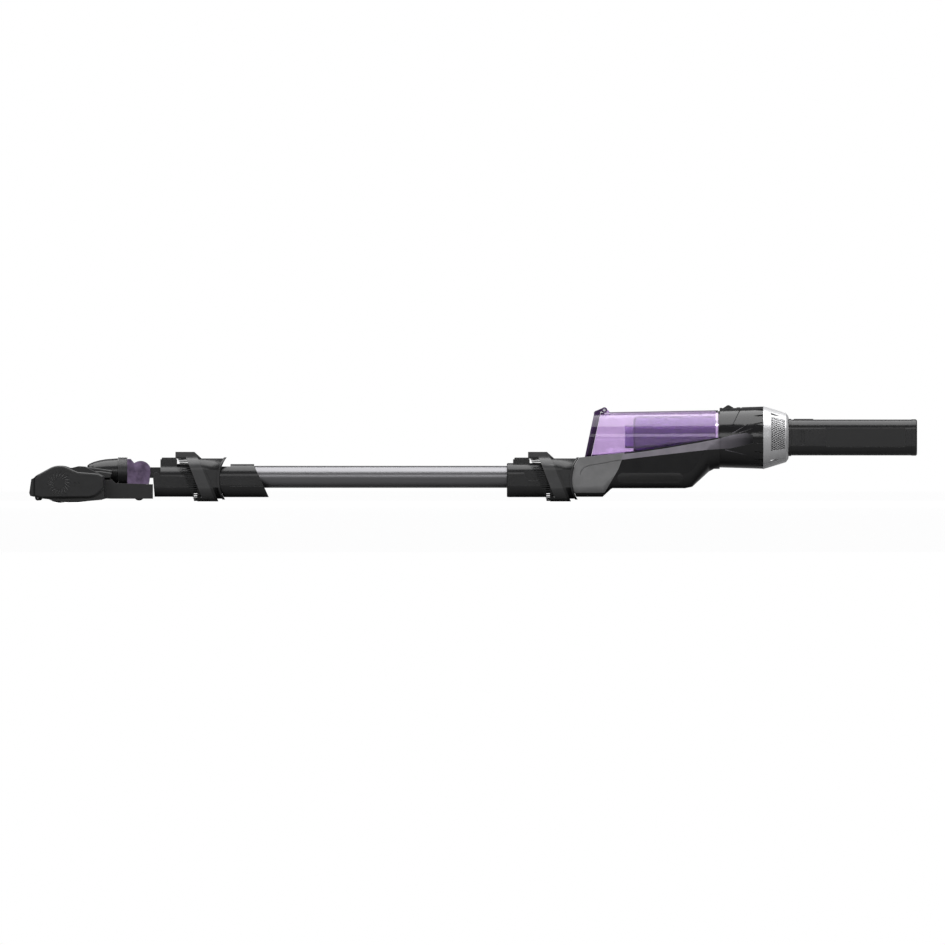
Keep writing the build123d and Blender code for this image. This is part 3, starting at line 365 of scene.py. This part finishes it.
# ------------------------------------------------------------------ floor head roller
def roller_tufts():
    """Helical rows of bristle tufts on the roller, dark rows and pale rows by turns."""
    draw = random.Random(SEED)
    lo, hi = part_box("roller_bristles")
    axis_x, axis_z = (lo.x + hi.x) / 2, (lo.z + hi.z) / 2
    mid_y, outer = (lo.y + hi.y) / 2, (hi.z - lo.z) / 2
    root, end_gap = 13.5 * MM, 2 * MM
    rows, pitch, twist = 6, 3.4 * MM, 1.25
    strands, strand_width = 9, 0.42 * MM
    dark = ([], [])
    pale = ([], [])
    steps = int((hi.y - lo.y - 2 * end_gap) / pitch)
    for row in range(rows):
        verts, faces = pale if row % 3 == 0 else dark
        for i in range(steps):
            y = lo.y + end_gap + i * pitch
            a = 2 * math.pi * row / rows + twist * abs(y - mid_y) / (hi.y - mid_y)
            for _ in range(strands):
                spin = a + draw.uniform(-0.05, 0.05)
                dy = draw.uniform(-0.8, 0.8) * MM
                lean = draw.uniform(-0.05, 0.05)
                length = outer - draw.uniform(0.1, 0.9) * MM
                out = Vector((math.cos(spin), 0, math.sin(spin)))
                tip_out = Vector((math.cos(spin + lean), 0, math.sin(spin + lean)))
                base = Vector((axis_x, y + dy, axis_z))
                spot = base + Vector((0, draw.uniform(-1.0, 1.0) * MM, 0))
                add_strand(verts, faces, base + out * root, spot + tip_out * length, strand_width)
    bright = fibrous("pale_bristle", (0.55, 0.55, 0.56), (0.8, 0.8, 0.8), 0.5)
    first = make_object("roller_tufts_dark", *dark, "brush_roller", "bristle")
    make_object("roller_tufts_pale", *pale, "brush_roller", "bristle", material=bright)
    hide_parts("roller_bristles")


roller_tufts()


# ------------------------------------------------------------------ dusting brushes
def rounded_ring(width, height, corner, count):
    """Evenly spaced points and outward directions round a rounded rectangle in Y and Z."""
    w, h = width / 2 - corner, height / 2 - corner
    quarter = math.pi * corner / 2
    runs = [2 * h, quarter, 2 * w, quarter, 2 * h, quarter, 2 * w, quarter]
    total = sum(runs)
    ring = []
    for i in range(count):
        s = total * i / count
        k = 0
        while s > runs[k]:
            s -= runs[k]
            k += 1
        turn = k // 2
        if k % 2 == 0:
            half, reach = (h, w) if turn % 2 == 0 else (w, h)
            point, out = Vector((reach + corner, s - half)), Vector((1, 0))
        else:
            a = s / corner
            half, reach = (h, w) if turn % 2 == 0 else (w, h)
            out = Vector((math.cos(a), math.sin(a)))
            point = Vector((reach, half)) + out * corner
        spin = Matrix.Rotation(turn * math.pi / 2, 2)
        ring.append((spin @ point, spin @ out))
    return ring


BAND_TOP = 57.5 * MM
BAND_SETBACK, BAND_SLANT = 12.7 * MM, 0.395


def band_front(z):
    """How far the slanted band's front edge lies behind the tab's front edge at height z."""
    return BAND_SETBACK + (BAND_TOP - z) * BAND_SLANT


def recut_slider(prefix, body):
    """The brush slider with its band's front cut back to the slant that the bristles stand on."""
    node = prefix + "_brush_slider"
    front_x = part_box(node)[0].x
    start, foot, top, half_width = front_x + 4 * MM, 7.0 * MM, BAND_TOP - 3 * MM, 30 * MM
    outline = [
        (start, foot),
        (front_x + band_front(foot), foot),
        (front_x + band_front(top), top),
        (start, top),
    ]
    verts = [(x, y, z) for y in (-half_width, half_width) for x, z in outline]
    faces = [(0, 1, 2, 3), (7, 6, 5, 4), (0, 4, 5, 1), (1, 5, 6, 2), (2, 6, 7, 3), (3, 7, 4, 0)]
    wedge = bpy.data.objects.new(prefix + "_wedge", bpy.data.meshes.new(prefix + "_wedge"))
    wedge.data.from_pydata(verts, [], faces)
    bpy.context.scene.collection.objects.link(wedge)
    slider = bpy.data.objects.new(prefix + "_slider_recut", NODES[node].data.copy())
    bpy.context.scene.collection.objects.link(slider)
    cut = slider.modifiers.new("cut", "BOOLEAN")
    cut.operation = "DIFFERENCE"
    cut.solver = "EXACT"
    cut.object = wedge
    graph = bpy.context.evaluated_depsgraph_get()
    slider.data = bpy.data.meshes.new_from_object(slider.evaluated_get(graph))
    slider.modifiers.clear()
    bpy.data.objects.remove(wedge)
    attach(slider, body)
    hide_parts(node)


def slider_shoulder(prefix, body):
    """The short collar that carries the slider's sleeve forward under its band."""
    front_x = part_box(prefix + "_brush_slider")[0].x
    x0, x1, mid_z = front_x + 27.0 * MM, front_x + 32.0 * MM, 30.3 * MM
    count = 96
    rings = [
        rounded_ring(46 * MM, 50 * MM, 14 * MM, count),
        rounded_ring(43 * MM, 47 * MM, 12.5 * MM, count),
    ]
    verts = [Vector((x, p.x, mid_z + p.y)) for ring in rings for x in (x0, x1) for p, _ in ring]
    faces = []
    outer_front, outer_back, inner_front, inner_back = (count * k for k in range(4))
    walls = (
        (outer_front, outer_back),
        (outer_back, inner_back),
        (inner_back, inner_front),
        (inner_front, outer_front),
    )
    for i in range(count):
        j = (i + 1) % count
        faces += [(a + i, a + j, b + j, b + i) for a, b in walls]
    mat = SPECIAL[prefix + "_brush_slider"]
    make_object(prefix + "_slider_shoulder", verts, faces, body, "charcoal_plastic", material=mat)


def dusting_tufts(prefix, body):
    """Fine bristles in tufts along the slanted front of a dusting brush, with none over the tab."""
    draw = random.Random(SEED + len(prefix))
    front_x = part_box(prefix + "_brush_slider")[0].x
    tufts, strands, mid_z = 68, 11, 29.8 * MM
    tab_z, tab_half = 50 * MM, 12 * MM
    sunk, splay, strand_width = 1.5 * MM, 0.3 * MM, 0.34 * MM
    verts, faces = [], []
    for point, out in rounded_ring(50 * MM, 52.6 * MM, 14.5 * MM, tufts):
        z = mid_z + point.y
        if z > tab_z and abs(point.x) < tab_half:
            continue
        root_x = front_x + band_front(z)
        for _ in range(strands):
            dy, dz = draw.uniform(-0.75, 0.75) * MM, draw.uniform(-0.75, 0.75) * MM
            root = Vector((root_x + sunk, point.x + dy * 0.6, z + dz * 0.6))
            reach = draw.uniform(10.0, 11.3) * MM
            tip = Vector((root_x - reach, point.x + dy + out.x * splay, z + dz + out.y * splay))
            add_strand(verts, faces, root, tip, strand_width)
    brush = make_object(prefix + "_brush_tufts", verts, faces, body, "bristle")
    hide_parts(prefix + "_brush_bristles")


for end in ("lower", "upper"):
    recut_slider(end, end + "_dusting_brush")
    slider_shoulder(end, end + "_dusting_brush")
    dusting_tufts(end, end + "_dusting_brush")


# ------------------------------------------------------------------ end cap vents and their painted glints
def painted_glint_blades(side):
    """A pale curved blade down one wall of every swirl slot in an end cap: its pale colour is a
    painted highlight for the glint on the slot walls.
    """
    name = "left" if side < 0 else "right"
    lo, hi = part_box("end_cap_" + name)
    roller_lo, roller_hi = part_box("roller_core")
    slots, ring_radius, ring_rise, lean = 18, 10.5 * MM, 2.6 * MM, math.radians(24)
    steps, length, bow = 6, 7.6 * MM, 0.5 * MM
    offset, thickness = 0.34 * MM, 0.42 * MM
    ring_z = (roller_lo.z + roller_hi.z) / 2 + ring_rise
    axis = Vector(((roller_lo.x + roller_hi.x) / 2, 0, ring_z))
    face_y = lo.y if side < 0 else hi.y
    near, far = face_y - side * 0.12 * MM, face_y - side * 1.2 * MM
    verts, faces = [], []
    for slot in range(slots):
        turn = 2 * math.pi * slot / slots
        first = len(verts)
        for i in range(steps + 1):
            t = i / steps - 0.5
            along, across = t * length, offset - bow * t * t
            x = along * math.sin(lean) + across * math.cos(lean)
            z = ring_radius + along * math.cos(lean) - across * math.sin(lean)
            width = thickness * math.cos(math.pi * t * 0.85)
            for y in (near, far):
                for shift in (-width / 2, width / 2):
                    spot = Vector((x + shift, 0, z))
                    spot.rotate(Matrix.Rotation(turn, 3, "Y"))
                    verts.append(axis + spot + Vector((0, y, 0)))
        for i in range(steps):
            a = first + 4 * i
            for j, k in ((0, 1), (1, 3), (3, 2), (2, 0)):
                faces.append((a + j, a + k, a + 4 + k, a + 4 + j))
        last = first + 4 * steps
        faces.append((first, first + 2, first + 3, first + 1))
        faces.append((last, last + 1, last + 3, last + 2))
    # The blades take the pale grey plastic, so they show as painted highlights in the dark slots.
    make_object("painted_glint_blades_" + name, verts, faces, "floor_head", "grey_plastic")


painted_glint_blades(-1)
painted_glint_blades(1)


# ------------------------------------------------------------------ exhaust grilles
def perforated_panel(name, start, end):
    """A sheet with a honeycomb of round holes, rolled to the exhaust ring's cone."""
    lo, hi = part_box("exhaust_ring")
    axis_z = (lo.z + hi.z) / 2
    x0, x1 = 370.0 * MM, 386.8 * MM
    pitch, hole, sides = 2.8 * MM, 1.02 * MM, 12
    cone_x, cone_r, slope = 366.0 * MM, 36.4 * MM, -6.6 / 21.4

    def radius(x):
        return cone_r + (x - cone_x) * slope

    mid_r = radius((x0 + x1) / 2)
    verts, faces = [], []
    row_step = pitch * math.sqrt(3) / 2
    rows = int((x1 - x0) / row_step) + 1
    count = int((end - start) * mid_r / pitch) + 1
    for i in range(rows):
        for j in range(count):
            cx = x0 + i * row_step
            cv = start + (j + 0.5 * (i % 2)) * pitch / mid_r
            first = len(verts)
            # A hexagonal outline first, then the round hole inside it.
            for is_hole in (False, True):
                for k in range(sides):
                    a = 2 * math.pi * k / sides + math.pi / 6
                    from_flat = a % (math.pi / 3) - math.pi / 6
                    reach = hole if is_hole else pitch / 2 / math.cos(from_flat)
                    x = cx + reach * math.sin(a)
                    v = cv + reach * math.cos(a) / mid_r
                    r = radius(x)
                    verts.append(Vector((x, r * math.cos(v), axis_z + r * math.sin(v))))
            for k in range(sides):
                n = (k + 1) % sides
                faces.append((first + k, first + n, first + sides + n, first + sides + k))
    sheet = make_object(name, verts, faces, "hand_unit", "silver_plastic")
    weld = sheet.modifiers.new("weld", "WELD")
    weld.merge_threshold = 0.02 * MM
    solid = sheet.modifiers.new("thickness", "SOLIDIFY")
    solid.thickness = 0.7 * MM
    solid.offset = 0.0
    return sheet


left_grille = perforated_panel("exhaust_mesh_left", math.radians(134), math.radians(207))
perforated_panel("exhaust_mesh_right", math.radians(-27), math.radians(46))
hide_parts("exhaust_grille")


# ------------------------------------------------------------------ grip dots
def grip_dots():
    """Low domes that cover the oval pads on both sides of the body."""
    lo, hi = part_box("grip_inlays")
    verts, faces = [], []
    pitch, size, height, sides = 1.9 * MM, 0.55 * MM, 0.28 * MM, 8
    border, sunk, shoulder = 1.6 * MM, 0.1 * MM, 0.7
    half_z = (hi.z - lo.z) / 2 - border
    mid_z = (hi.z + lo.z) / 2
    left, right = lo.x + half_z + border, hi.x - half_z - border
    row_step = pitch * math.sqrt(3) / 2
    rows = int(half_z / row_step)
    for side, face_y in ((-1, lo.y), (1, hi.y)):
        for i in range(-rows, rows + 1):
            z = mid_z + i * row_step
            inset = math.sqrt(max(0.0, half_z**2 - (i * row_step) ** 2))
            x = left - inset + (pitch / 2 if i % 2 else 0)
            while x <= right + inset:
                first = len(verts)
                for radius, rise in ((size, -sunk), (size * shoulder, height * shoulder)):
                    y = face_y + side * rise
                    for k in range(sides):
                        a = 2 * math.pi * k / sides
                        verts.append(Vector((x + radius * math.cos(a), y, z + radius * math.sin(a))))
                verts.append(Vector((x, face_y + side * height, z)))
                for k in range(sides):
                    n = (k + 1) % sides
                    faces.append((first + k, first + n, first + sides + n, first + sides + k))
                    faces.append((first + sides + k, first + sides + n, first + 2 * sides))
                x += pitch
    make_object("grip_dots", verts, faces, "hand_unit", "rubber_black", smooth=True)


grip_dots()


# ------------------------------------------------------------------ stage
def stage_floor():
    """Pale to the camera and through clear plastic, dimmer in the light it gives back."""
    bpy.ops.mesh.primitive_plane_add(size=60.0, location=(0, 0, -0.3 * MM))
    floor = bpy.context.object
    floor.name = "floor"
    mat, nodes, links, shader = new_material("pale_floor")
    cloud = noise(nodes, links, object_space(nodes, links), 0.2)
    base = two_tone(nodes, links, cloud, (0.33, 0.33, 0.33), (0.37, 0.37, 0.37))
    links.new(base, shader.inputs["Base Color"])
    shader.inputs["Roughness"].default_value = 0.8
    shader.inputs["Specular IOR Level"].default_value = 0.1
    shader.inputs["Emission Color"].default_value = (1, 1, 1, 1)
    shader.inputs["Emission Strength"].default_value = 0.90
    dim = nodes.new("ShaderNodeBsdfDiffuse")
    dim.inputs["Color"].default_value = (0.20, 0.20, 0.20, 1)
    mix_into(nodes, links, seen_directly(nodes, links), dim, shader, "Material Output")
    floor.data.materials.append(mat)


def stage_world():
    """White behind the object, but only a dim grey room in its reflections."""
    world = bpy.data.worlds.new("studio")
    bpy.context.scene.world = world
    world.use_nodes = True
    nodes, links = world.node_tree.nodes, world.node_tree.links
    white = nodes["Background"]
    white.inputs["Color"].default_value = (1, 1, 1, 1)
    white.inputs["Strength"].default_value = 1.0
    room = nodes.new("ShaderNodeBackground")
    room.inputs["Color"].default_value = (0.21, 0.21, 0.215, 1)
    mix_into(nodes, links, seen_directly(nodes, links), room, white, "World Output")


def softbox(name, place, aim, size, watts):
    light = bpy.data.lights.new(name, "AREA")
    light.shape = "RECTANGLE"
    light.size, light.size_y = size
    light.energy = watts
    obj = bpy.data.objects.new(name, light)
    bpy.context.scene.collection.objects.link(obj)
    obj.location = place
    facing = Vector(aim) - Vector(place)
    obj.rotation_euler = facing.to_track_quat("-Z", "Y").to_euler()
    obj.visible_camera = False


def stage_lights():
    softbox("top_softbox", (0, -0.12, 1.25), (0, -0.12, 0), (2.8, 1.65), 50.0)
    softbox("front_strip", (0, -2.4, 0.53), (0, 0, 0.03), (3.4, 0.56), 13.0)


def stage_camera():
    """A long lens level with the object, square to its side."""
    data = bpy.data.cameras.new("camera")
    data.lens = 1500.0
    data.sensor_width = 36.0
    data.clip_end = 150.0
    width = 1.1718
    centre = Vector((-0.0014, 0.0, 0.0378))
    distance = width * data.lens / data.sensor_width
    camera = bpy.data.objects.new("camera", data)
    bpy.context.scene.collection.objects.link(camera)
    camera.location = centre + Vector((0, -distance, 0))
    camera.rotation_euler = (math.radians(90), 0, 0)
    bpy.context.scene.camera = camera


stage_floor()
stage_world()
stage_lights()
stage_camera()
bpy.context.scene.view_settings.view_transform = "Standard"
